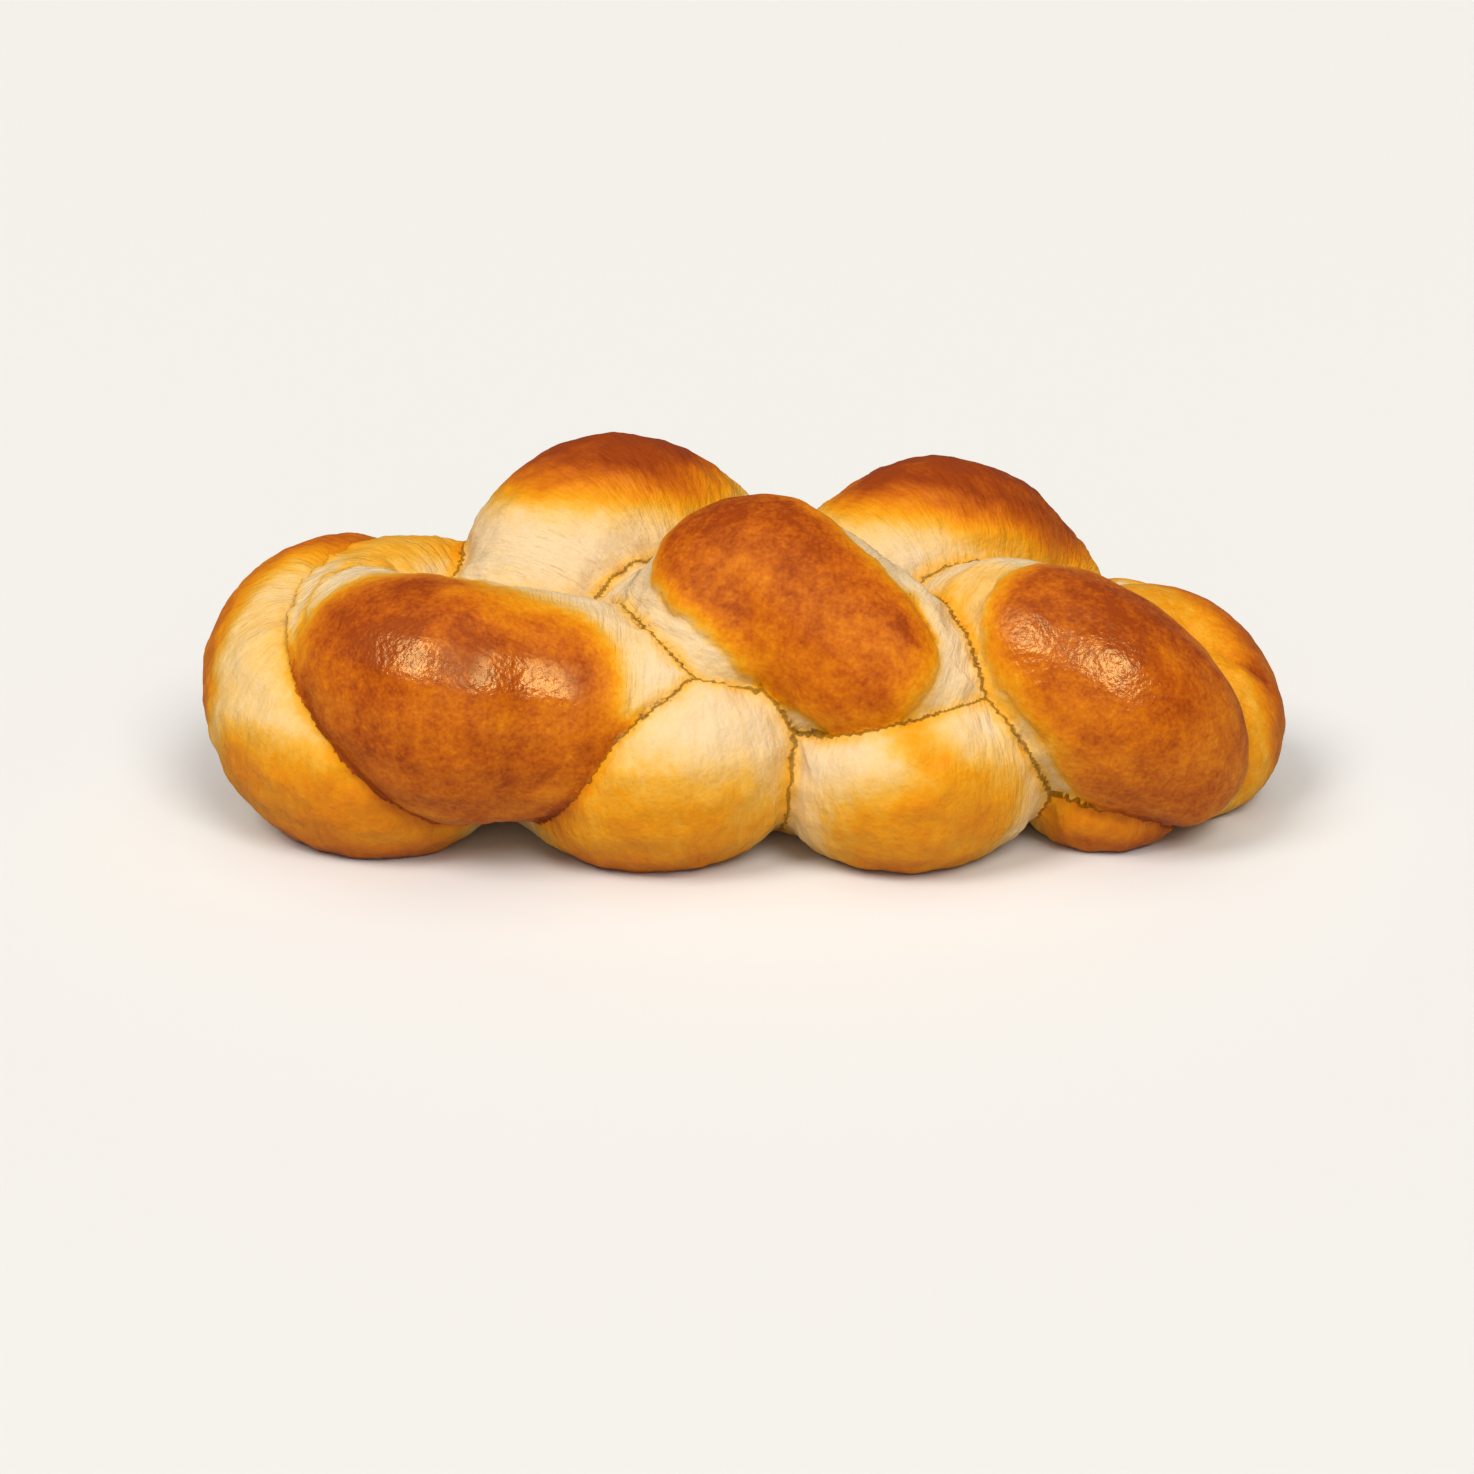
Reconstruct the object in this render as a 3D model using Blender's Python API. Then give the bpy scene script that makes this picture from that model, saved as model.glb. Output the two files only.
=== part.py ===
"""Braided loaf of enriched white bread: two dough ropes, crossed, folded and plaited as four strands.

The dough swells and fuses in the oven, so the baked loaf is one solid whose seams are grooves.
Metres, +Z up. The loaf lies along X, and its origin is on the table under the middle of its outline.
"""

import bpy
from mathutils import Matrix, Vector

LOAF_LENGTH = 0.298
LOAF_WIDTH = 0.146
LOAF_HEIGHT = 0.095

MM = 0.001
STRAND_SIDES = 8  # bevel resolution: a strand has 4 + 2 * this many sides
SPAN_STEPS = 8  # rings between one station of a strand and the next
DOUGH_GRAIN = 2.2 * MM  # size of the cells in which the strands fuse
SEAM_SMOOTHING = 1  # passes that round the bottom of the seams
FACE_SHARE = 0.14  # share of the fused faces that the solid keeps
SEAM_FILL = 2.4 * MM  # radius to which swelling dough fills the bottom of a seam
CRUST_COLOUR = (0.83, 0.47, 0.12, 1.0)

# A rope is a row of stations: along, across and above the table, then the radius, in millimetres.
# It starts and ends tucked under the right end, and its middle is folded round the left end.
# A strand swells to a radius of 26-32 in the open and is pinched to 22-26 under another strand.
ROPES = {
    "outer_rope": [(118, -26, 16, 16), (127, -5, 20, 24), (121, 14, 32, 21.5)]  # right end, at the back
    + [(94, -4, 32, 24), (72, -26, 28, 23)]
    + [(54, -43.5, 25, 27.5), (40, -45, 26, 29.5)]  # right lobe of the front foot
    + [(26, -16, 27, 26), (14, 18, 34, 24), (-8, 33, 48, 28)]
    + [(-35.5, 26, 63.5, 32)]  # left crown, at the back
    + [(-56, -2, 48, 27), (-76, -26, 31, 27)]
    + [(-97, -30, 27, 34), (-117, -8, 36, 29.5), (-107, 17, 40, 28.8)]  # fold round the left end
    + [(-84, 30, 26, 24), (-66, 10, 30, 24), (-42, -28, 25, 27.5)]
    + [(-19.5, -44.5, 28, 31.5)]  # middle lobe of the front foot
    + [(5, -31, 32.5, 25.5), (22, -6, 47, 24), (38, 10, 58, 26)]
    + [(58, 26, 57, 31.5), (79, 33, 42.5, 26.5)]  # right crown, at the back
    + [(92, 16, 28, 22), (90, -14, 20, 20)]
    + [(98, -33, 17.5, 21.5), (118, -31, 14.5, 15)],  # end tucked under the front foot
    "inner_rope": [(126, -10, 18, 12), (121, -26, 20, 20)]
    + [(108, -35, 32.5, 28), (84, -31, 46.5, 29.5)]  # right lobe of the front
    + [(60, -6, 43.5, 25.5), (40, 28, 38, 24)]
    + [(15, 38, 30, 31)]  # middle lobe of the back foot
    + [(-6, 6, 32, 22)]
    + [(-18, -36, 37, 28), (-40, -41, 39, 31), (-60, -43, 42, 32.5), (-78, -43, 44.5, 34)]  # left lobe of the front
    + [(-101, -14, 47, 24.5), (-94, 5, 46, 26), (-74, 20, 41, 25)]  # fold inside the outer one
    + [(-66, 36, 30, 30)]  # left lobe of the back foot
    + [(-50, 24, 42, 24), (-32, 8, 48, 21), (-10, -30, 49.5, 28)]
    + [(4, -24, 66, 27.5), (24, -35, 57.5, 28), (41, -39, 44, 28)]  # middle lobe of the front
    + [(58, -22, 36, 22), (70, 12, 29, 23)]
    + [(94, 32, 25, 27)]  # right lobe of the back foot
    + [(118, 26, 25, 24), (129, 8, 23, 15)],
}

# The dough under and between the strands, pressed flat on the tray.
CORE_CENTRE = Vector((0, 0, 24)) * MM
CORE_HALF_SIZE = Vector((126, 56, 30)) * MM


def clear_scene():
    for obj in list(bpy.data.objects):
        bpy.data.objects.remove(obj)


def linked(name, data):
    obj = bpy.data.objects.new(name, data)
    bpy.context.scene.collection.objects.link(obj)
    return obj


def evaluated_mesh(obj):
    """A plain mesh of the object with its modifiers carried out."""
    bpy.context.view_layer.update()
    graph = bpy.context.evaluated_depsgraph_get()
    return bpy.data.meshes.new_from_object(obj.evaluated_get(graph), depsgraph=graph)


def rope(name, stations):
    """One rope of dough, a closed tube swept through its stations."""
    curve = bpy.data.curves.new(name, "CURVE")
    curve.dimensions = "3D"
    curve.bevel_depth = 1.0
    curve.bevel_resolution = STRAND_SIDES
    curve.use_fill_caps = True
    spline = curve.splines.new("BEZIER")
    spline.resolution_u = SPAN_STEPS
    spline.radius_interpolation = "CARDINAL"
    spline.bezier_points.add(len(stations) - 1)
    for point, (along, across, above, radius) in zip(spline.bezier_points, stations):
        point.co = Vector((along, across, above)) * MM
        point.radius = radius * MM
        point.handle_left_type = point.handle_right_type = "AUTO"
    return linked(name, curve)


def core():
    """The lens of dough that fills the middle of the plait and makes its flat base."""
    bpy.ops.mesh.primitive_uv_sphere_add(segments=48, ring_count=24, radius=1.0, location=CORE_CENTRE)
    lens = bpy.context.object
    lens.scale = CORE_HALF_SIZE
    bpy.ops.object.transform_apply(location=True, rotation=False, scale=True)
    return lens


def swell(obj, push):
    """Pushes the skin out along its normals, then fuses it wherever it has met itself."""
    displace = obj.modifiers.new("push", "DISPLACE")
    displace.mid_level = 0
    displace.strength = push
    remesh = obj.modifiers.new("fuse", "REMESH")
    remesh.mode = "VOXEL"
    remesh.voxel_size = DOUGH_GRAIN
    smooth = obj.modifiers.new("round_seams", "SMOOTH")
    smooth.iterations = SEAM_SMOOTHING


def fused(pieces):
    """The pieces joined in one mesh, then baked together into one skin."""
    joined = linked("dough", bpy.data.meshes.new("dough"))
    parts = []
    for piece in pieces:
        parts.append(linked(piece.name + "_mesh", evaluated_mesh(piece)))
        bpy.data.objects.remove(piece)
    with bpy.context.temp_override(active_object=joined, selected_editable_objects=[joined] + parts):
        bpy.ops.object.join()
    for push in (0, SEAM_FILL, -SEAM_FILL):
        swell(joined, push)
    decimate = joined.modifiers.new("facets", "DECIMATE")
    decimate.ratio = FACE_SHARE
    mesh = evaluated_mesh(joined)
    bpy.data.objects.remove(joined)
    return mesh


def fit_to_size(mesh):
    """Scales the skin to the loaf's length, width and height, and centres it on the origin."""
    corners = [[vertex.co[axis] for vertex in mesh.vertices] for axis in range(3)]
    low = Vector([min(values) for values in corners])
    high = Vector([max(values) for values in corners])
    scale = (LOAF_LENGTH / (high.x - low.x), LOAF_WIDTH / (high.y - low.y), LOAF_HEIGHT / high.z)
    centre = Vector(((low.x + high.x) / 2, (low.y + high.y) / 2, 0))
    mesh.transform(Matrix.Diagonal(scale).to_4x4() @ Matrix.Translation(-centre))


def tray_cutter():
    """The space under the table's surface, which the base is cut flat by."""
    side = 2 * LOAF_LENGTH
    bpy.ops.mesh.primitive_cube_add(size=side, location=(0, 0, -side / 2))
    cutter = bpy.context.object
    cutter.name = "tray_cutter"
    cutter.hide_render = True
    cutter.display_type = "WIRE"
    return cutter


def crust_material():
    material = bpy.data.materials.new("golden_crust")
    material.use_nodes = True
    shader = material.node_tree.nodes["Principled BSDF"]
    shader.inputs["Base Color"].default_value = CRUST_COLOUR
    shader.inputs["Roughness"].default_value = 0.4
    shader.inputs["Metallic"].default_value = 0.0
    return material


def braided_loaf():
    pieces = [rope(name, stations) for name, stations in ROPES.items()]
    mesh = fused(pieces + [core()])
    fit_to_size(mesh)
    mesh.materials.clear()
    mesh.materials.append(crust_material())
    mesh.shade_smooth()
    loaf = linked("braided_loaf", mesh)
    base = loaf.modifiers.new("flat_base", "BOOLEAN")
    base.operation = "DIFFERENCE"
    base.object = tray_cutter()
    return loaf


clear_scene()
braided_loaf()
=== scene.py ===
"""Looks of a braided loaf: an egg-washed plait of enriched white bread with a glossy brown crust.

It is one piece, baked in one skin from two ropes of dough, so the script follows the baker: the ropes
are rolled and plaited, they swell and fuse in the oven, the skin tears and puckers where strands part,
and the egg wash browns wherever the brush reached. Sizes in the loaf's own sections are millimetres.
"""

import bpy
import numpy as np
from mathutils import Matrix, Vector, noise


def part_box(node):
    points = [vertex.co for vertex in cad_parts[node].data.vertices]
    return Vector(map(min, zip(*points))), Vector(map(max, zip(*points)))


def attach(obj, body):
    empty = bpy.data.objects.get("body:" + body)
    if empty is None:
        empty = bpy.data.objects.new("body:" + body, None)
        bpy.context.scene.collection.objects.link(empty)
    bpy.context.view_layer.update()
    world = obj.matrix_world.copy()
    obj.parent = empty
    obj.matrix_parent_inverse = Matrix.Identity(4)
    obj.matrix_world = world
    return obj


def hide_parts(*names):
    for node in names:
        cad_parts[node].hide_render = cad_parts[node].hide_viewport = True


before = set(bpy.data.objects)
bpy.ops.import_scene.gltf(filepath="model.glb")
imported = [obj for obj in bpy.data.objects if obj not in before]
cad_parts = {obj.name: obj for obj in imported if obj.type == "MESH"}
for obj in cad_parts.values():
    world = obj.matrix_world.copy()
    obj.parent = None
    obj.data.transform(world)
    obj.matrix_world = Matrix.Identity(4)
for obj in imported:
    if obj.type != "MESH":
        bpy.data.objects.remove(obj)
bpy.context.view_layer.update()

# --- The dough ----------------------------------------------------------------------------------------
# Two ropes of enriched white dough, crossed and folded into a plait of four strands. Each is a soft tube
# that swells in the open and is pinched where another strand crosses it. They rest flat on the tray.
MM = 0.001
ROPES = {
    "outer_rope": [(118, -26, 16, 16), (127, -5, 20, 24), (121, 14, 32, 21.5)]  # right end, at the back
    + [(94, -4, 32, 24), (72, -26, 28, 23)]
    + [(54, -43.5, 25, 27.5), (40, -45, 26, 29.5)]  # right lobe of the front foot
    + [(26, -16, 27, 26), (14, 18, 34, 24), (-8, 33, 48, 28)]
    + [(-35.5, 26, 63.5, 32)]  # left crown, at the back
    + [(-56, -2, 48, 27), (-76, -26, 31, 27)]
    + [(-97, -30, 27, 34), (-117, -8, 36, 29.5), (-107, 17, 40, 28.8)]  # fold round the left end
    + [(-84, 30, 26, 24), (-66, 10, 30, 24), (-42, -28, 25, 27.5)]
    + [(-19.5, -44.5, 28, 31.5)]  # middle lobe of the front foot
    + [(5, -31, 32.5, 25.5), (22, -6, 47, 24), (38, 10, 58, 26)]
    + [(58, 26, 57, 31.5), (79, 33, 42.5, 26.5)]  # right crown, at the back
    + [(92, 16, 28, 22), (90, -14, 20, 20)]
    + [(98, -33, 17.5, 21.5), (118, -31, 14.5, 15)],  # end tucked under the front foot
    "inner_rope": [(126, -10, 18, 12), (121, -26, 20, 20)]
    + [(108, -35, 32.5, 28), (84, -31, 46.5, 29.5)]  # right lobe of the front
    + [(60, -6, 43.5, 25.5), (40, 28, 38, 24)]
    + [(15, 38, 30, 31)]  # middle lobe of the back foot
    + [(-6, 6, 32, 22)]
    + [(-18, -36, 37, 28), (-40, -41, 39, 31)]
    + [(-60, -43, 42, 32.5), (-78, -43, 44.5, 34)]  # left lobe of the front
    + [(-101, -14, 47, 24.5), (-94, 5, 46, 26), (-74, 20, 41, 25)]  # fold inside the outer one
    + [(-66, 36, 30, 30)]  # left lobe of the back foot
    + [(-50, 24, 42, 24), (-32, 8, 48, 21), (-10, -30, 49.5, 28)]
    + [(4, -24, 66, 27.5), (24, -35, 57.5, 28), (41, -39, 44, 28)]  # middle lobe of the front
    + [(58, -22, 36, 22), (70, 12, 29, 23)]
    + [(94, 32, 25, 27)]  # right lobe of the back foot
    + [(118, 26, 25, 24), (129, 8, 23, 15)],
}
CORE_CENTRE = Vector((0, 0, 24)) * MM
CORE_HALF_SIZE = Vector((126, 56, 30)) * MM
RING_POINTS = 20  # round a rope
SPAN_STEPS = 8  # rings from one station of a rope to the next
RISING_GRAIN = 1.2 * MM  # the skin's mesh while the dough rises
SKIN_GRAIN = 0.75 * MM  # and when it is baked
SOFT_FILL = 2.4 * MM  # how far the dough fills a shallow seam on top
FOOT_FILL = 1.6 * MM  # and a deep one at the tray
FILL_LOW, FILL_HIGH = 18.0, 48.0  # it grows from the one to the other between these heights, in mm


def linked(name, data):
    obj = bpy.data.objects.new(name, data)
    bpy.context.scene.collection.objects.link(obj)
    return obj


def evaluated_mesh(obj):
    """A plain mesh of the object with its modifiers carried out."""
    bpy.context.view_layer.update()
    graph = bpy.context.evaluated_depsgraph_get()
    return bpy.data.meshes.new_from_object(obj.evaluated_get(graph), depsgraph=graph)


def positions(mesh, field="co"):
    found = np.empty(len(mesh.vertices) * 3, np.float32)
    mesh.vertices.foreach_get(field, found)
    return found.reshape(-1, 3)


def move_to(mesh, points):
    mesh.vertices.foreach_set("co", points.astype(np.float32).ravel())
    mesh.update()


def rope(name, stations):
    """One rope of dough, a closed tube swept through its stations."""
    curve = bpy.data.curves.new(name, "CURVE")
    curve.dimensions = "3D"
    curve.bevel_depth = 1.0
    curve.bevel_resolution = RING_POINTS // 2 - 2
    curve.use_fill_caps = True
    spline = curve.splines.new("BEZIER")
    spline.resolution_u = SPAN_STEPS
    spline.radius_interpolation = "CARDINAL"
    spline.bezier_points.add(len(stations) - 1)
    for point, (along, across, above, radius) in zip(spline.bezier_points, stations):
        point.co = Vector((along, across, above)) * MM
        point.radius = radius * MM
        point.handle_left_type = point.handle_right_type = "AUTO"
    return linked(name, curve)


def core():
    """The lens of dough that fills the middle of the plait."""
    bpy.ops.mesh.primitive_uv_sphere_add(segments=48, ring_count=24, radius=1.0, location=CORE_CENTRE)
    lens = bpy.context.object
    lens.scale = CORE_HALF_SIZE
    bpy.ops.object.transform_apply(location=True, rotation=False, scale=True)
    return lens


def fused(mesh, grain, smoothing):
    """The mesh's skin, rebuilt as one wherever it meets itself."""
    dough = linked("fusing", mesh)
    remesh = dough.modifiers.new("fuse", "REMESH")
    remesh.mode = "VOXEL"
    remesh.voxel_size = grain
    smooth = dough.modifiers.new("soften", "SMOOTH")
    smooth.iterations = smoothing
    made = evaluated_mesh(dough)
    bpy.data.objects.remove(dough)
    return made


def ease(values, low, high):
    """0 below low, 1 above high and smooth between."""
    share = np.clip((values - low) / (high - low), 0, 1)
    return share * share * (3 - 2 * share)


def swollen(mesh, sign):
    """Moves the skin out or in by the fill its seams get, which is less near the tray."""
    places = positions(mesh)
    push = FOOT_FILL + (SOFT_FILL - FOOT_FILL) * ease(places[:, 2] / MM, FILL_LOW, FILL_HIGH)
    move_to(mesh, places + sign * push[:, None] * positions(mesh, "normal"))


pieces = [rope(name, stations) for name, stations in ROPES.items()]
tubes = [evaluated_mesh(piece) for piece in pieces]
rings = [positions(tube).reshape(-1, RING_POINTS, 3) for tube in tubes]
joined = linked("dough", bpy.data.meshes.new("dough"))
parts = [linked(tube.name, tube) for tube in tubes] + [core()]
for piece in pieces:
    bpy.data.objects.remove(piece)
with bpy.context.temp_override(active_object=joined, selected_editable_objects=[joined] + parts):
    bpy.ops.object.join()
dough = fused(joined.data, RISING_GRAIN, 1)
bpy.data.objects.remove(joined)
swollen(dough, 1)
dough = fused(dough, RISING_GRAIN, 0)
swollen(dough, -1)
dough = fused(dough, SKIN_GRAIN, 7)

# The same fit to the loaf's box as the solid has: its foot on the table, its outline round the origin.
box_low, box_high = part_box("braided_loaf")


def fitted(points, low, high):
    """Points moved and scaled so that a skin from low to high fills the box above the table, in mm."""
    size = np.array(box_high - box_low)
    span = np.array([high[0] - low[0], high[1] - low[1], high[2]])
    scale = size / span
    centre = np.array([(low[0] + high[0]) / 2, (low[1] + high[1]) / 2, 0])
    return (points - centre) * scale / MM


raw = positions(dough)
extent = raw.min(axis=0), raw.max(axis=0)
skin = fitted(raw, *extent)
spine = [fitted(ring.mean(axis=1), *extent) for ring in rings]
girth = [
    np.linalg.norm(ring - ring.mean(axis=1, keepdims=True), axis=2).mean(axis=1) / MM for ring in rings
]

# --- The strands, as the skin knows them --------------------------------------------------------------
# Every point of the skin belongs to the strand it is nearest to. The seam is where two strands are
# equally near, and a point's place on its own strand is how far along it and how far round it lies.
OWN_REACH = 58.0  # a strand's own dough up to this far along, in mm, isn't another strand
BLEND_WIDTH = 0.35  # how softly a point's place passes from one ring of its strand to the next, in mm
FLATTEST_MEETING = 0.35  # strands that meet more flatly than this are taken to meet so
FAR_AWAY = 1e3
POINTS_AT_ONCE = 6000
spine_points = np.concatenate(spine)
spine_radius = np.concatenate(girth)
spine_rope = np.concatenate([np.full(len(line), number) for number, line in enumerate(spine)])
spine_along = np.concatenate(
    [np.r_[0, np.linalg.norm(np.diff(line, axis=0), axis=1).cumsum()] for line in spine]
)
spine_way = np.concatenate([np.gradient(line, axis=0) for line in spine])
spine_way /= np.linalg.norm(spine_way, axis=1, keepdims=True)


def unit(vectors):
    return vectors / np.maximum(np.linalg.norm(vectors, axis=1, keepdims=True), 1e-9)


def strand_fields(points):
    """For each point: its distance to the nearest seam, its place along and round its own strand, all in
    mm, and the number of its strand's nearest ring."""
    made = {"seam": [], "along": [], "round": [], "ring": []}
    for part in np.array_split(points, len(points) // POINTS_AT_ONCE + 1):
        squared = (part**2).sum(1)[:, None] + (spine_points**2).sum(1)[None] - 2 * part @ spine_points.T
        gap = np.sqrt(np.maximum(squared, 1e-6)) - spine_radius
        first = gap.argmin(axis=1)
        rows = np.arange(len(part))
        own = spine_rope == spine_rope[first][:, None]
        own &= np.abs(spine_along - spine_along[first][:, None]) < OWN_REACH
        other = np.where(own, FAR_AWAY, gap)
        second = other.argmin(axis=1)
        weight = np.where(own, np.exp(-(gap - gap[rows, first][:, None]) / BLEND_WIDTH), 0)
        weight /= weight.sum(axis=1, keepdims=True)
        middle = weight @ spine_points
        way = unit(weight @ spine_way)
        out_here = unit(part - middle)
        out_there = unit(part - spine_points[second])
        meet = np.linalg.norm(out_here - out_there, axis=1)
        seam = (other[rows, second] - gap[rows, first]) / np.maximum(meet, FLATTEST_MEETING)
        up = unit(np.array([0, 0, 1.0]) - way * way[:, 2:])
        side = np.cross(way, up)
        turn = np.arctan2((out_here * side).sum(1), (out_here * up).sum(1))
        made["seam"].append(seam)
        made["along"].append(weight @ spine_along)
        made["round"].append(turn * spine_radius[first])
        made["ring"].append(first)
    return {name: np.concatenate(values) for name, values in made.items()}


# --- The skin -----------------------------------------------------------------------------------------
# The oven raises the egg-washed crowns over the pale dough that was hidden between the strands. That dough
# stretches into fine wrinkles and puckers, and tears along the seams, raggedly, into open crumb.

# A wash is a brush stroke of egg over one strand: from a point with a radius to another, how brown it
# bakes, over how many mm its edge fades and its brown deepens, how far it stands up, how glossy it is.
WASHES = {
    "left_lobe": [(-88, -51, 48.5), 38, (-60, -56, 46.5), 31.3, 0.90, 5, 12, 0.5, 0.25],
    "left_lobe_under": [(-88, -56, 30), 30, (-65, -56, 24), 26.5, 0.80, 6, 12, 0, 0.3],
    "left_lobe_glow": [(-84, -50, 50), 36, (-58, -56, 46), 28, 0.42, 8, 14, 0, 0],
    "left_lobe_shine": [(-94, -64, 64), 15, (-86, -68, 62), 15, 0.50, 6, 8, 0, 1.0],
    "left_lobe_second_shine": [(-60, -70, 58), 16, (-54, -70, 56), 16, 0.50, 6, 8, 0, 1.0],
    "middle_lobe": [(-1, -32, 84), 26, (27, -53, 62), 22.5, 0.86, 2, 8, 2.4, 0.15],
    # the deeper brown on the middle lobe's right side is partly real browning and partly painted shade
    "middle_lobe_shaded_side": [(33, -48, 69), 10, (38, -54, 57), 10, 1.0, 4, 7, 0, 0.1],
    "right_lobe": [(88, -42, 65), 26.5, (116, -54, 34), 32, 0.86, 3, 8, 1.8, 0.6],
    "right_lobe_shine": [(94, -56, 60), 21, (106, -57, 48), 21, 0.50, 8, 8, 0, 1.0],
    "right_lobe_second_shine": [(76, -49, 64), 14, (76, -53, 57), 14, 0.50, 6, 8, 0, 0.95],
    "right_neck": [(60, -24, 72), 12, (66, -36, 66), 12, 0.20, 6, 10, 0, 0],
    "left_crown": [(-42, 40, 130), 61.5, (-31, 40, 130), 61.5, 0.98, 11, 24, 0, 0.3],
    "right_crown": [(48, 40, 121.5), 58.5, (84, 44, 100), 50.5, 0.94, 11, 20, 0, 0.3],
    "left_fold_rim": [(-151, -12, 36), 17, (-112, 30, 67), 18.5, 0.72, 8, 12, 0, 0.2],
    "left_end": [(-156, 14, 26), 34, (-128, 50, 30), 36, 0.72, 10, 16, 0, 0.3],
    "left_fold_side": [(-140, -48, 14), 27, (-92, -62, 4), 27, 0.62, 10, 16, 0, 0.4],
    "left_fold_top": [(-100, 8, 80), 17, (-84, 16, 78), 16, 0.34, 8, 10, 0, 0],
    "left_fold_glow": [(-140, -30, 40), 34, (-118, -52, 30), 36, 0.14, 10, 20, 0, 0],
    "middle_foot": [(-40, -68, 9), 27, (-4, -72, 12), 23, 0.52, 14, 18, 0, 0.3],
    "right_foot": [(36, -72, 10), 22, (58, -68, 18), 21, 0.56, 12, 16, 0, 0.4],
    "right_foot_spot": [(44, -65, 40), 6, (56, -64, 28), 11, 0.52, 7, 10, 0, 0.3],
    "right_end": [(118, 14, 46), 34, (142, -8, 30), 28, 0.39, 6, 16, 0, 0.4],
    "right_end_rim": [(126, 34, 40), 27, (153, -4, 24), 20, 0.76, 8, 12, 0, 0.6],
    "tucked_end": [(86, -50, 4), 16, (112, -50, 4), 18, 0.66, 6, 12, 0, 0.4],
    "middle_back": [(2, 66, 34), 26, (28, 66, 34), 26, 0.86, 4, 14, 1.0, 0.5],
    "left_back": [(-82, 62, 34), 26, (-58, 64, 34), 26, 0.86, 4, 14, 1.0, 0.5],
    "right_back": [(86, 58, 30), 24, (108, 52, 28), 24, 0.86, 4, 14, 1.0, 0.5],
}
# A dent is a place where the skin has sunk: over how many mm, and how deep.
DENTS = [
    [(-72, -34, 78), 12, 2.2],  # the saddle of the left lobe
]
# A lip is a place where one strand's dough stands up over its neighbour at their seam: over how many mm,
# how high, and which rope is the upper one.
LIPS = [
    [(-124, -20, 62), 20, 3.0, 1],
    [(-112, 6, 68), 18, 2.6, 1],
]
# A crease is a line along which a strand is folded onto itself, and it looks like a seam.
CREASES = [
    [(-118, -33, 61), (-116, -22, 67), (-113, -14, 69.5), (-107, -8, 71), (-98, -6, 71), (-88, -4, 69)],
    [(122, 2, 50), (128, -1, 47), (135, -3, 42), (143, -2, 37)],
    [(44, -38, 72), (47, -43, 69), (49, -48, 64)],
]
# A bend is a place where a strand turns so sharply that its skin lies smooth, and over how many mm.
BENDS = [
    [(121, 14, 50), 24],
]
# A tear is a place on a seam, how far it reaches along it, and how wide it stands open.
TEARS = [
    [(-36, -18, 67), 12, 0.8],
    [(-29, -36, 65), 12, 1.0],
    [(-20, -48, 60), 10, 0.6],
    [(-23, -62, 46), 12, 0.45],
    [(-33, -66, 36), 12, 0.45],
    [(-31, -2, 73), 13, 0.7],
    [(46, -34, 68), 16, 1.0],
    [(57, -42, 57), 14, 0.8],
    [(74, -54, 34), 14, 0.4],
    [(54, -4, 70), 13, 0.6],
    [(37, -60, 42), 12, 0.4],
    [(15, -58, 34), 12, 0.45],
    [(-122, -22, 60), 14, 0.3],
    [(-101, -7, 71), 14, 0.7],
    [(-72, -9, 68), 12, 0.6],
]


def ripple(places, octaves=1):
    """Smooth noise from about -1 to 1 at each place, in steps of one unit."""
    return np.array([noise.fractal(Vector(place), 1.0, 2.0, octaves) for place in places.tolist()])


def stroke_depth(points, start, start_radius, end, end_radius):
    """How far inside a tapered round stroke each point lies, in mm, and below 0 outside it."""
    start = np.array(start)
    way = np.array(end) - start
    share = np.clip((points - start) @ way / (way @ way), 0, 1)
    away = np.linalg.norm(points - start - share[:, None] * way, axis=1)
    return start_radius + (end_radius - start_radius) * share - away


GOLD = 0.42  # the brown that a wash's whole edge fades to, before it deepens
DRIFT, DRIFT_SIZE = 1.5, 11.0  # how far a wash's edge strays from its stroke, and in what steps, in mm
SHOULDER = 6.0  # over how many mm a crown's edge rounds up to its full height
LEFT_BEHIND = 15.0  # how far beside a crown the dough has sunk, in mm
WELL_OUTSIDE = -30.0  # a depth in mm, for places that a wash doesn't reach


def washed(points, fields):
    """For each point: how brown it has baked, how glossy the egg is on it, how deep inside a crown that
    stands up it lies, and how far it has stayed behind beside such a crown."""
    drift = DRIFT * ripple(points / DRIFT_SIZE, 3)
    made = {"bake": np.zeros(len(points)), "gloss": np.zeros(len(points))}
    made |= {"inside": np.full(len(points), WELL_OUTSIDE), "sunk": np.zeros(len(points))}
    for start, start_radius, end, end_radius, brown, edge, deepening, step, gloss in WASHES.values():
        middle = (np.array(start) + np.array(end)) / 2
        nearest = (np.linalg.norm(spine_points - middle, axis=1) - spine_radius).argmin()
        mine = spine_rope[fields["ring"]] == spine_rope[nearest]
        mine &= np.abs(fields["along"] - spine_along[nearest]) < OWN_REACH
        depth = stroke_depth(points, start, start_radius, end, end_radius) + drift
        depth = np.where(mine, depth, WELL_OUTSIDE)
        gold = min(brown, GOLD)
        bake = gold * ease(depth, -edge, edge) + (brown - gold) * ease(depth, -0.3 * edge, deepening)
        made["bake"] = np.maximum(made["bake"], bake)
        made["gloss"] = np.maximum(made["gloss"], gloss * ease(depth, -0.5 * edge, 1.5 * edge))
        if step:
            made["inside"] = np.maximum(made["inside"], depth)
            shoulder = np.sqrt(1 - (1 - np.clip((depth + 0.5) / SHOULDER, 0, 1)) ** 2)
            sunk = step * (1 - shoulder) * ease(depth, -LEFT_BEHIND, -3)
            made["sunk"] = np.maximum(made["sunk"], sunk)
    return made


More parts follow.
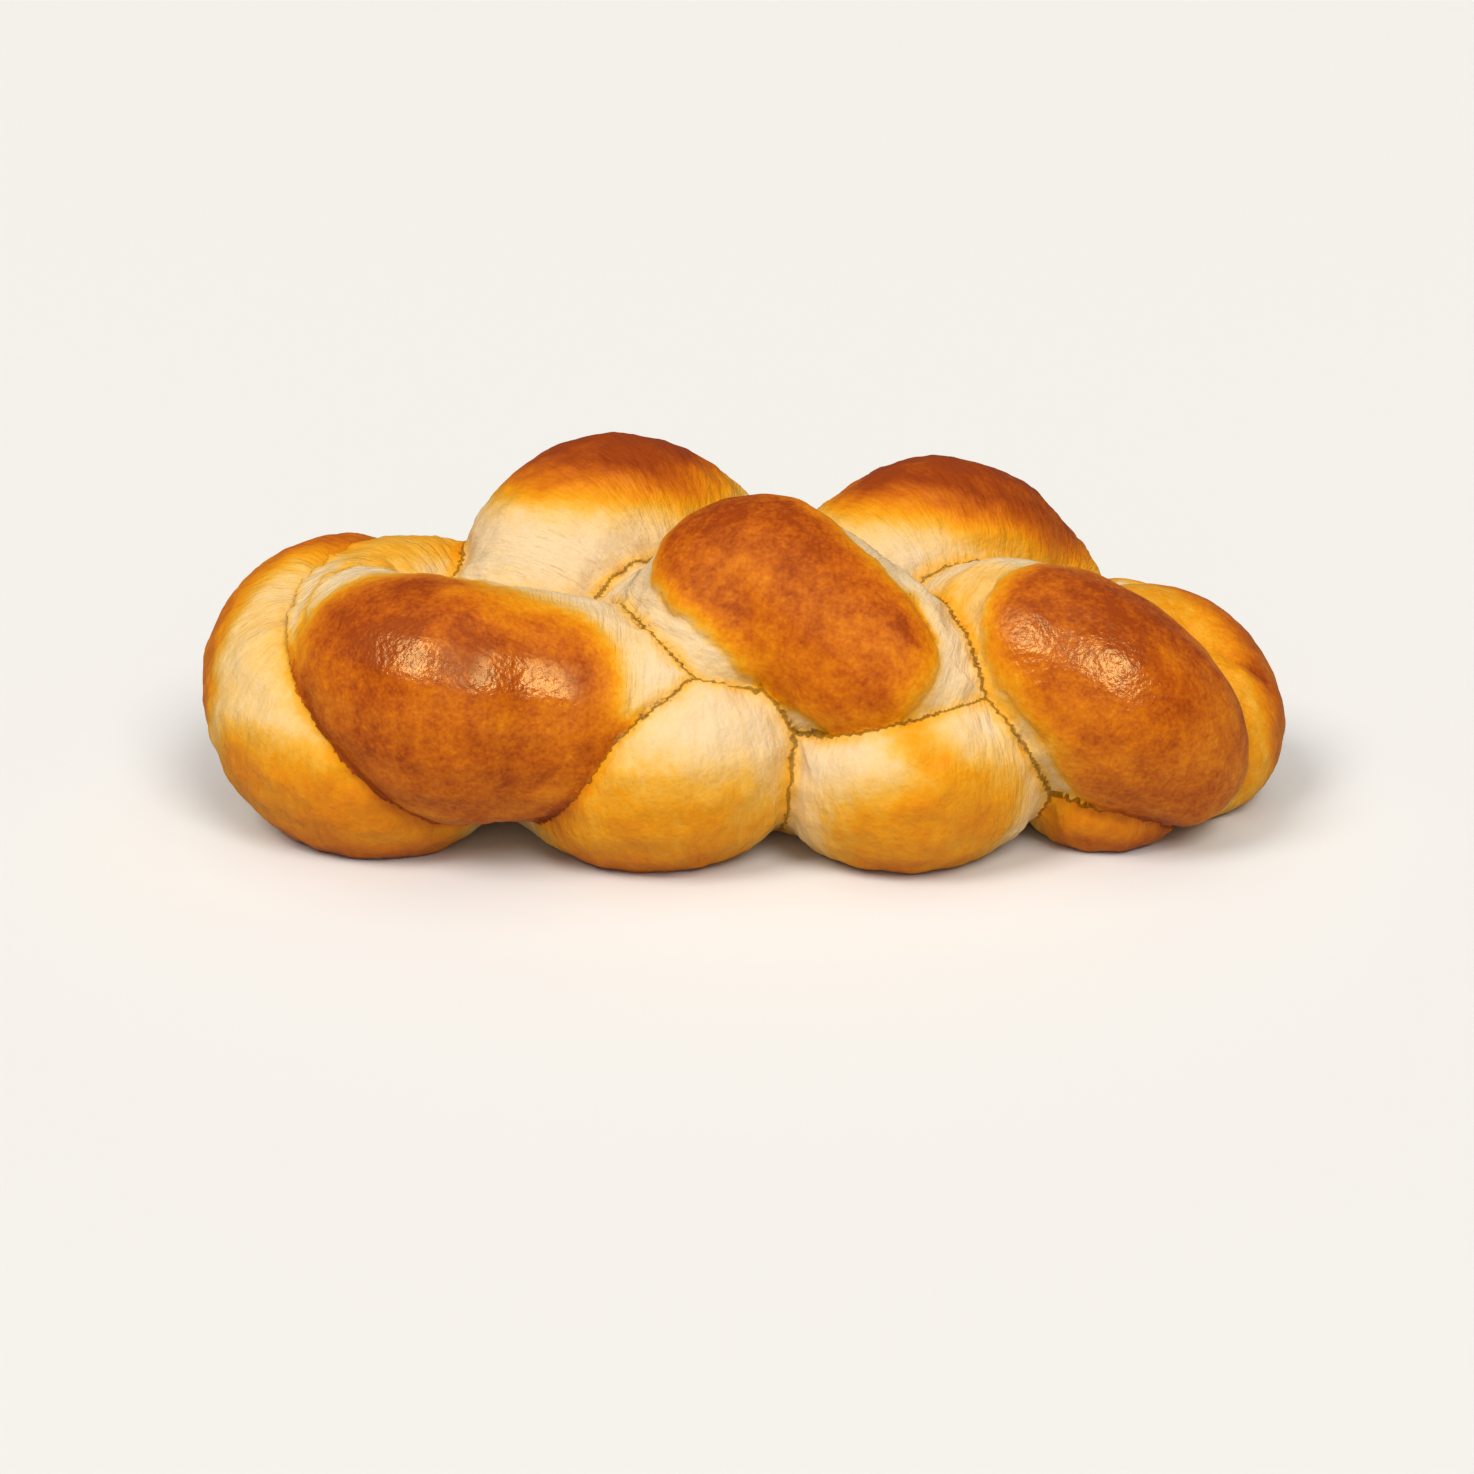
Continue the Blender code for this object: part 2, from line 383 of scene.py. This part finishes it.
TORN_STEP = 5.0  # the steps in which a tear opens and closes along its seam, in mm


def torn(points):
    """How wide the seams stand open near each point, from 0 to about 1, in fits and starts."""
    wide = np.zeros(len(points))
    for place, reach, strength in TEARS:
        away = np.linalg.norm(points - np.array(place), axis=1)
        wide = np.maximum(wide, strength * (1 - ease(away, 0.3 * reach, reach)))
    return wide * np.clip(0.7 + 1.3 * ripple(points / TORN_STEP + 11), 0.05, 1.3)


def near(points, place, reach):
    """1 at the place, falling away like a bell over the reach."""
    return np.exp(-((np.linalg.norm(points - np.array(place), axis=1) / reach) ** 2))


def seam_at(points, fields):
    """How far each point is from the nearest seam or crease, in mm."""
    nearest = fields["seam"].copy()
    for line in CREASES:
        for start, end in zip(line, line[1:]):
            nearest = np.minimum(nearest, -stroke_depth(points, start, 0, end, 0))
    return nearest


def at_bends(points):
    """1 at the sharp bends and 0 away from them."""
    found = np.zeros(len(points))
    for place, reach in BENDS:
        found = np.maximum(found, near(points, place, reach))
    return found


def evened(mesh, vectors, rounds):
    """Unit vectors, each turned towards its neighbours' along the mesh's edges, over and over."""
    ends = np.empty(len(mesh.edges) * 2, np.int32)
    mesh.edges.foreach_get("vertices", ends)
    left, right = ends.reshape(-1, 2).T
    for _ in range(rounds):
        total = vectors.copy()
        for axis in range(3):
            total[:, axis] += np.bincount(left, vectors[right, axis], len(vectors))
            total[:, axis] += np.bincount(right, vectors[left, axis], len(vectors))
        vectors = unit(total)
    return vectors


ROPES_APART = 40.0  # in mm, so that the ropes' wrinkles differ


def on_strand(fields):
    """Each point's place along and round its strand in mm, and its rope's place beside the others."""
    return np.c_[fields["along"], fields["round"], ROPES_APART * spine_rope[fields["ring"]]]


# How high or deep each relief is, and how wide, in mm. Swellings and dimples run over the whole skin. The
# pale skirts beside the crowns have deeper dimples, and wrinkles and puckers whose widths are along the
# strand and round it. A seam is a narrow groove in a wide hollow, and a torn one is cracked as well, except
# at the tray. A number added to a ripple's places keeps its pattern apart from the others.
SWELLING, SWELLING_SIZE = 0.5, 24.0
DIMPLE, SKIRT_DIMPLE, DIMPLE_SIZE = 0.10, 0.38, 8.0
WRINKLE, WRINKLE_SIZE = 0.34, (1.7, 9.0, 1.0)
PUCKER, PUCKER_SIZE, PUCKER_REACH = 0.90, (4.5, 11.0, 1.0), 9.0
GROOVE, TORN_GROOVE, GROOVE_REACH = 0.40, 0.8, 2.0
HOLLOW, HOLLOW_CHANGE, HOLLOW_SIZE, HOLLOW_REACH = 1.0, 0.6, 20.0, 4.5
CRACK, CRACK_REACH, TORN_REACH = 1.5, 0.6, 0.8
CRACKED_ABOVE, CRACKED_WHOLLY = 14, 30  # heights over the tray at which cracks start and are whole
RAGGED, RAGGED_SIZE = 1.2, 6.0  # how far a tear's edge strays from its seam
LIP_REACH = 3.5  # how far a lip is felt in from the seam
PRESSED, PRESSED_REACH = 0.4, 2.0  # how far it presses its neighbour down, for 1 mm of its own height
TRIANGLES = 190000  # the most that the loaf may have
normals = evened(dough, positions(dough, "normal").astype(float), 8)
fields = strand_fields(skin)
wash = washed(skin, fields)
tear = torn(skin)
seam = seam_at(skin, fields)
skirt = (1 - ease(wash["inside"], -1.0, 2.5)) * (1 - at_bends(skin))
near_seam = np.exp(-((seam / PUCKER_REACH) ** 2))
above_tray = ease(skin[:, 2], CRACKED_ABOVE, CRACKED_WHOLLY)
relief = SWELLING * ripple(skin / SWELLING_SIZE + 7, 2)
relief += (DIMPLE + SKIRT_DIMPLE * skirt) * ripple(skin / DIMPLE_SIZE, 2)
relief += WRINKLE * skirt * ripple(on_strand(fields) / WRINKLE_SIZE, 2)
relief += PUCKER * skirt * near_seam * ripple(on_strand(fields) / PUCKER_SIZE + 3, 2)
relief -= (GROOVE + TORN_GROOVE * tear) * np.exp(-((seam / GROOVE_REACH) ** 2))
hollow = HOLLOW + HOLLOW_CHANGE * ripple(skin / HOLLOW_SIZE + 5)
relief -= hollow * np.exp(-((seam / HOLLOW_REACH) ** 2))
ragged = seam + RAGGED * ripple(skin / RAGGED_SIZE, 3) + 0.2
relief -= CRACK * tear * np.exp(-((ragged / (CRACK_REACH + TORN_REACH * tear)) ** 2)) * above_tray
relief -= wash["sunk"]
for place, reach, depth in DENTS:
    relief -= depth * near(skin, place, reach)
for place, reach, lift, upper in LIPS:
    raised_edge = np.exp(-(ragged / LIP_REACH))
    pressed_edge = -PRESSED * np.exp(-(seam / PRESSED_REACH))
    over = np.where(spine_rope[fields["ring"]] == upper, raised_edge, pressed_edge)
    relief += lift * over * near(skin, place, reach)
move_to(dough, (skin + relief[:, None] * normals) * MM)
crust = linked("crust", dough)
smooth = crust.modifiers.new("soften", "SMOOTH")
smooth.factor = 0.4
thin = crust.modifiers.new("thin_out", "DECIMATE")
thin.ratio = min(1.0, TRIANGLES / (2 * len(dough.polygons)))
mesh = evaluated_mesh(crust)
bpy.data.objects.remove(crust)
places = positions(mesh).astype(float)
places = fitted(places, places.min(axis=0), places.max(axis=0))
places[:, 2] = np.maximum(places[:, 2], 0)
move_to(mesh, places * MM)
mesh.shade_smooth()

# The finish reads these off the skin: tops brown a little more in the oven's heat. The foot of the loaf
# is darker, most of all the line where it touches the tray: partly real browning from the hot tray and
# partly painted shade.
TOP_HEAT = 0.16
TRAY_EDGE, TRAY_LINE = 0.22, 0.35
fields = strand_fields(places)
wash = washed(places, fields)
height = places[:, 2]
heat = 1 + TOP_HEAT * (ease(positions(mesh, "normal")[:, 2], 0.1, 1.0) - 0.5)
# painted shade as well as real browning: darker near the table, darkest where the loaf touches it
tray_brown_and_shade = TRAY_EDGE * (1 - ease(height, 1.0, 11.0)) + TRAY_LINE * (1 - ease(height, 0.1, 1.2))
masks = {
    "bake": wash["bake"] * heat + tray_brown_and_shade,
    "gloss": wash["gloss"],
    "raised": np.maximum(ease(wash["inside"], -1, 3), at_bends(places)),
    "seam": seam_at(places, fields),
    "tear": torn(places),
}
for name, values in masks.items():
    mask = mesh.attributes.new(name, "FLOAT", "POINT")
    mask.data.foreach_set("value", values.astype(np.float32))
strand_map = mesh.attributes.new("strand", "FLOAT_VECTOR", "POINT")
strand_map.data.foreach_set("vector", (on_strand(fields) * MM).astype(np.float32).ravel())
loaf = linked("loaf_crust", mesh)

# --- The crust's finish -------------------------------------------------------------------------------
# Egg-washed crust: a thin varnish of dried egg over browned dough, glossy and finely wrinkled where it was
# brushed, and matt where the pale dough came out from under it. The brown is deepest on the crowns.


def linear(code):
    """The linear colour of an sRGB hex value."""
    parts = [int(code[place : place + 2], 16) / 255 for place in (1, 3, 5)]
    parts = [part / 12.92 if part <= 0.04045 else ((part + 0.055) / 1.055) ** 2.4 for part in parts]
    return parts + [1]


def add_node(tree, kind, settings=(), inputs=(), output=0):
    """Adds a shader node with its settings or a ramp's stops, and its values or links. Gives an output."""
    made = tree.nodes.new("ShaderNode" + kind)
    for name, value in dict(settings).items():
        if name == "stops":
            for number, (place, code) in enumerate(value):
                stops = made.color_ramp.elements
                stop = stops[number] if number < 2 else stops.new(place)
                stop.position = place
                stop.color = linear(code)
        else:
            setattr(made, name, value)
    for name, value in dict(inputs).items():
        if isinstance(value, bpy.types.NodeSocket):
            tree.links.new(value, made.inputs[name])
        else:
            made.inputs[name].default_value = value
    return made.outputs[output]


# From pale dough through gold to the brown of the crowns. The first two stops are the ramp's ends.
BAKE_COLOURS = [
    (0.00, "#cfb389"),
    (1.00, "#883202"),
    (0.15, "#d2aa68"),
    (0.30, "#cf9733"),
    (0.45, "#ce850b"),
    (0.60, "#c77204"),
    (0.75, "#b65c03"),
    (0.88, "#a14703"),
]
material = bpy.data.materials.new("egg_washed_crust")
material.use_nodes = True
tree = material.node_tree
shader = tree.nodes["Principled BSDF"]
where = add_node(tree, "TexCoord", output="Object")
baked = add_node(tree, "Attribute", {"attribute_name": "bake"}, output="Fac")
egg_gloss = add_node(tree, "Attribute", {"attribute_name": "gloss"}, output="Fac")
seam_mm = add_node(tree, "Attribute", {"attribute_name": "seam"}, output="Fac")
open_seam = add_node(tree, "Attribute", {"attribute_name": "tear"}, output="Fac")
raised = add_node(tree, "Attribute", {"attribute_name": "raised"}, output="Fac")
strand = add_node(tree, "Attribute", {"attribute_name": "strand"}, output="Vector")
stretched = add_node(tree, "Mapping", inputs={"Vector": strand, "Scale": (1.0, 0.13, 1.0)})
noises = {}
for name, vector, size, detail in [
    ("patches", where, 15.0, 3.0),  # uneven heat, in mm as the others
    ("mottle", where, 3.0, 3.0),  # the brown's own clouding
    ("blister", where, 1.1, 2.0),  # tiny gas bubbles under the crust
    ("crumb", where, 0.8, 2.0),  # the torn dough inside a seam
    ("ragged", where, 4.5, 4.0),  # the edge of a tear
    ("wrinkle", where, 1.9, 2.0),  # dried egg
    ("streak", stretched, 0.9, 2.0),  # gluten strands, drawn out round the strand
]:
    scale = 1 / (size * MM)
    grain = add_node(tree, "TexNoise", {}, {"Vector": vector, "Scale": scale, "Detail": detail})
    noises[name] = add_node(tree, "Math", {"operation": "SUBTRACT"}, {0: grain, 1: 0.5})

# The colour follows the bake, streaked where it fades into pale dough, clouded most on the raised crowns,
# and a little deeper and more golden in the folds and grooves, which is painted shade.
unbaked = add_node(tree, "Math", {"operation": "SUBTRACT"}, {0: 1.1, 1: baked})
skirted = add_node(tree, "Math", {"operation": "SUBTRACT"}, {0: 1.0, 1: raised})
fading = add_node(tree, "Math", {"operation": "MULTIPLY"}, {0: baked, 1: unbaked})
fading = add_node(tree, "Math", {"operation": "MULTIPLY"}, {0: fading, 1: skirted})
streaks = add_node(tree, "Math", {"operation": "MULTIPLY"}, {0: noises["streak"], 1: fading})
patched = add_node(tree, "Math", {"operation": "MULTIPLY"}, {0: noises["patches"], 1: baked})
falling = {"To Min": 1.0, "To Max": 0.0}
# painted shade: deeper and more golden within 7 mm of a seam
fold_shade = add_node(tree, "MapRange", {}, {"Value": seam_mm, "From Max": 7.0} | falling)
rough_seam = seam_mm
for value, share in [(noises["ragged"], 4.0), (noises["patches"], 6.0)]:
    rough_seam = add_node(tree, "Math", {"operation": "MULTIPLY_ADD"}, {0: value, 1: share, 2: rough_seam})
# painted shade: deeper still along a seam's ragged groove
groove_shade = add_node(tree, "MapRange", {}, {"Value": rough_seam, "From Max": 3.0} | falling)
speckle = 0.0
for value, share in [(noises["mottle"], 0.34), (noises["blister"], 0.26)]:
    speckle = add_node(tree, "Math", {"operation": "MULTIPLY_ADD"}, {0: value, 1: share, 2: speckle})
speckled = add_node(tree, "Math", {"operation": "MULTIPLY_ADD"}, {0: raised, 1: 0.7, 2: 0.4})
tone = baked
for value, share in [
    (streaks, 0.75),
    (patched, 0.40),
    (noises["patches"], 0.20),
    (speckle, speckled),
    (fold_shade, 0.11),
    (groove_shade, 0.20),
]:
    tone = add_node(tree, "Math", {"operation": "MULTIPLY_ADD"}, {0: value, 1: share, 2: tone})
colour = add_node(tree, "ValToRGB", {"stops": BAKE_COLOURS}, {"Fac": tone})

# Where a seam is torn, crumb shows inside its ragged edge, and small gas holes beside it, their darkness
# painted shade.
CLOSED_WIDTH, TORN_WIDTH = 0.25, 1.3  # how wide a seam shows crumb, in mm
EDGE_STRAY = 3.4  # how far its edge strays, in mm
HOLE_SPACING = 1.7 * MM
torn_edge = {0: noises["ragged"], 1: EDGE_STRAY, 2: seam_mm}
edge = add_node(tree, "Math", {"operation": "MULTIPLY_ADD"}, torn_edge)
torn_reach = {0: open_seam, 1: TORN_WIDTH, 2: CLOSED_WIDTH}
reach = add_node(tree, "Math", {"operation": "MULTIPLY_ADD"}, torn_reach)
crack = add_node(tree, "MapRange", {}, {"Value": edge, "From Max": reach} | falling)
opened = add_node(tree, "MapRange", {}, {"Value": open_seam, "From Max": 0.4, "To Min": 0.08})
crack = add_node(tree, "Math", {"operation": "MULTIPLY"}, {0: crack, 1: opened})
spots = {"Value": noises["mottle"], "From Min": -0.10, "From Max": 0.08, "To Min": 0.15}
dotted = add_node(tree, "MapRange", {}, spots)
crack = add_node(tree, "Math", {"operation": "MULTIPLY"}, {0: crack, 1: dotted})
shaded_holes = add_node(tree, "TexVoronoi", {}, {"Vector": where, "Scale": 1 / HOLE_SPACING})
shaded_holes = add_node(tree, "MapRange", {}, {"Value": shaded_holes, "From Min": 0.2, "From Max": 0.3} | falling)
by_seam = add_node(tree, "MapRange", {}, {"Value": edge, "From Min": 0.8, "From Max": 1.6} | falling)
shaded_holes = add_node(tree, "Math", {"operation": "MULTIPLY"}, {0: shaded_holes, 1: by_seam})
shaded_holes = add_node(tree, "Math", {"operation": "MULTIPLY", "use_clamp": True}, {0: shaded_holes, 1: open_seam})
crumb = add_node(tree, "Math", {"operation": "ADD"}, {0: noises["crumb"], 1: 0.5})
crumb = add_node(tree, "ValToRGB", {"stops": [(0.35, "#a5651a"), (0.65, "#d0a050")]}, {"Fac": crumb})
colour = add_node(tree, "Mix", {"data_type": "RGBA"}, {0: crack, 6: colour, 7: crumb}, 2)
# painted shade: the holes are drawn as dark brown spots
colour = add_node(tree, "Mix", {"data_type": "RGBA"}, {0: shaded_holes, 6: colour, 7: linear("#85501a")}, 2)
tree.links.new(colour, shader.inputs["Base Color"])

# Dried egg is a thin varnish that shines and tints what it mirrors yellow. Bare dough is matt.
shine = add_node(tree, "MapRange", {}, {"Value": egg_gloss, "To Min": 0.2, "To Max": 0.76})
tree.links.new(shine, shader.inputs["Specular IOR Level"])
shader.inputs["Specular Tint"].default_value = linear("#ffe799")
matt = add_node(tree, "MapRange", {}, {"Value": egg_gloss, "To Min": 0.62, "To Max": 0.26})
matt = add_node(tree, "Math", {"operation": "MULTIPLY_ADD"}, {0: noises["mottle"], 1: 0.16, 2: matt})
tree.links.new(matt, shader.inputs["Roughness"])

# The finest relief is too small for the mesh: how high each kind stands, in mm.
stretching = add_node(tree, "Math", {"operation": "MULTIPLY"}, {0: noises["streak"], 1: skirted})
height = 0.0
for value, share in [
    (noises["wrinkle"], 0.30),
    (stretching, 0.58),
    (noises["blister"], 0.14),
    (crack, -0.3),
    (shaded_holes, -0.35),
]:
    height = add_node(tree, "Math", {"operation": "MULTIPLY_ADD"}, {0: value, 1: share, 2: height})
bump = add_node(tree, "Bump", {}, {"Height": height, "Distance": MM})
tree.links.new(bump, shader.inputs["Normal"])
mesh.materials.clear()
mesh.materials.append(material)
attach(loaf, "root")
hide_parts("braided_loaf")

# --- The table, the light and the camera --------------------------------------------------------------
# A sheet of pale paper under the loaf, a dim white room, and two broad lights in front, left and right,
# whose reflections lie on the front crowns. Two more fill the shadows. The camera looks a little down, from
# as far as a long lens needs.
PAPER_SIZE = 10.0  # in metres, so that its edge is out of view
bpy.ops.mesh.primitive_plane_add(size=PAPER_SIZE)
floor = bpy.context.object
floor.name = "floor"
paper = bpy.data.materials.new("white_paper")
paper.use_nodes = True
paper_shader = paper.node_tree.nodes["Principled BSDF"]
paper_shader.inputs["Base Color"].default_value = linear("#d6d3cd")
paper_shader.inputs["Roughness"].default_value = 0.9
floor.data.materials.append(paper)
floor.visible_glossy = False

world = bpy.data.worlds.new("white_room")
world.use_nodes = True
world.node_tree.nodes["Background"].inputs["Color"].default_value = linear("#ffffff")
world.node_tree.nodes["Background"].inputs["Strength"].default_value = 0.12
bpy.context.scene.world = world


def seen_from(azimuth, elevation, distance, aim):
    """A place at that distance from the aim, looking at it. Azimuth 0 is in front and 90 on the right."""
    turn = Matrix.Rotation(np.radians(azimuth), 4, "Z")
    tilt = Matrix.Rotation(np.radians(90 - elevation), 4, "X")
    return Matrix.Translation(aim) @ turn @ tilt @ Matrix.Translation((0, 0, distance))


LOAF_MIDDLE = Vector((0, 0, 40)) * MM
LIGHT_DISTANCE = 1.2  # in metres
# Each light has its azimuth and elevation, and how wide it looks from the loaf, in degrees. Then come its
# power and whether the egg mirrors it.
LIGHTS = {
    "left": [-50, 50, 26, 1.86, True],
    "right": [26, 46, 26, 1.88, True],
    "overhead": [0, 85, 70, 1.0, False],
    "front": [0, 12, 60, 0.78, False],
}
for name, (azimuth, elevation, width, power, mirrored) in LIGHTS.items():
    light = bpy.data.lights.new(name, "SUN")
    light.angle = np.radians(width)
    light.energy = power
    lamp = linked(name + "_light", light)
    lamp.matrix_world = seen_from(azimuth, elevation, LIGHT_DISTANCE, LOAF_MIDDLE)
    lamp.visible_glossy = mirrored

CAMERA_LENS = 97.7
CAMERA_ELEVATION = 21.03
CAMERA_DISTANCE = 1106 * MM
CAMERA_AIM = Vector((-2.5, 0, 18)) * MM
camera_data = bpy.data.cameras.new("camera")
camera_data.lens = CAMERA_LENS
camera_data.sensor_width = 36
camera = linked("camera", camera_data)
camera.matrix_world = seen_from(0, CAMERA_ELEVATION, CAMERA_DISTANCE, CAMERA_AIM)
bpy.context.scene.camera = camera
bpy.context.scene.view_settings.view_transform = "Standard"
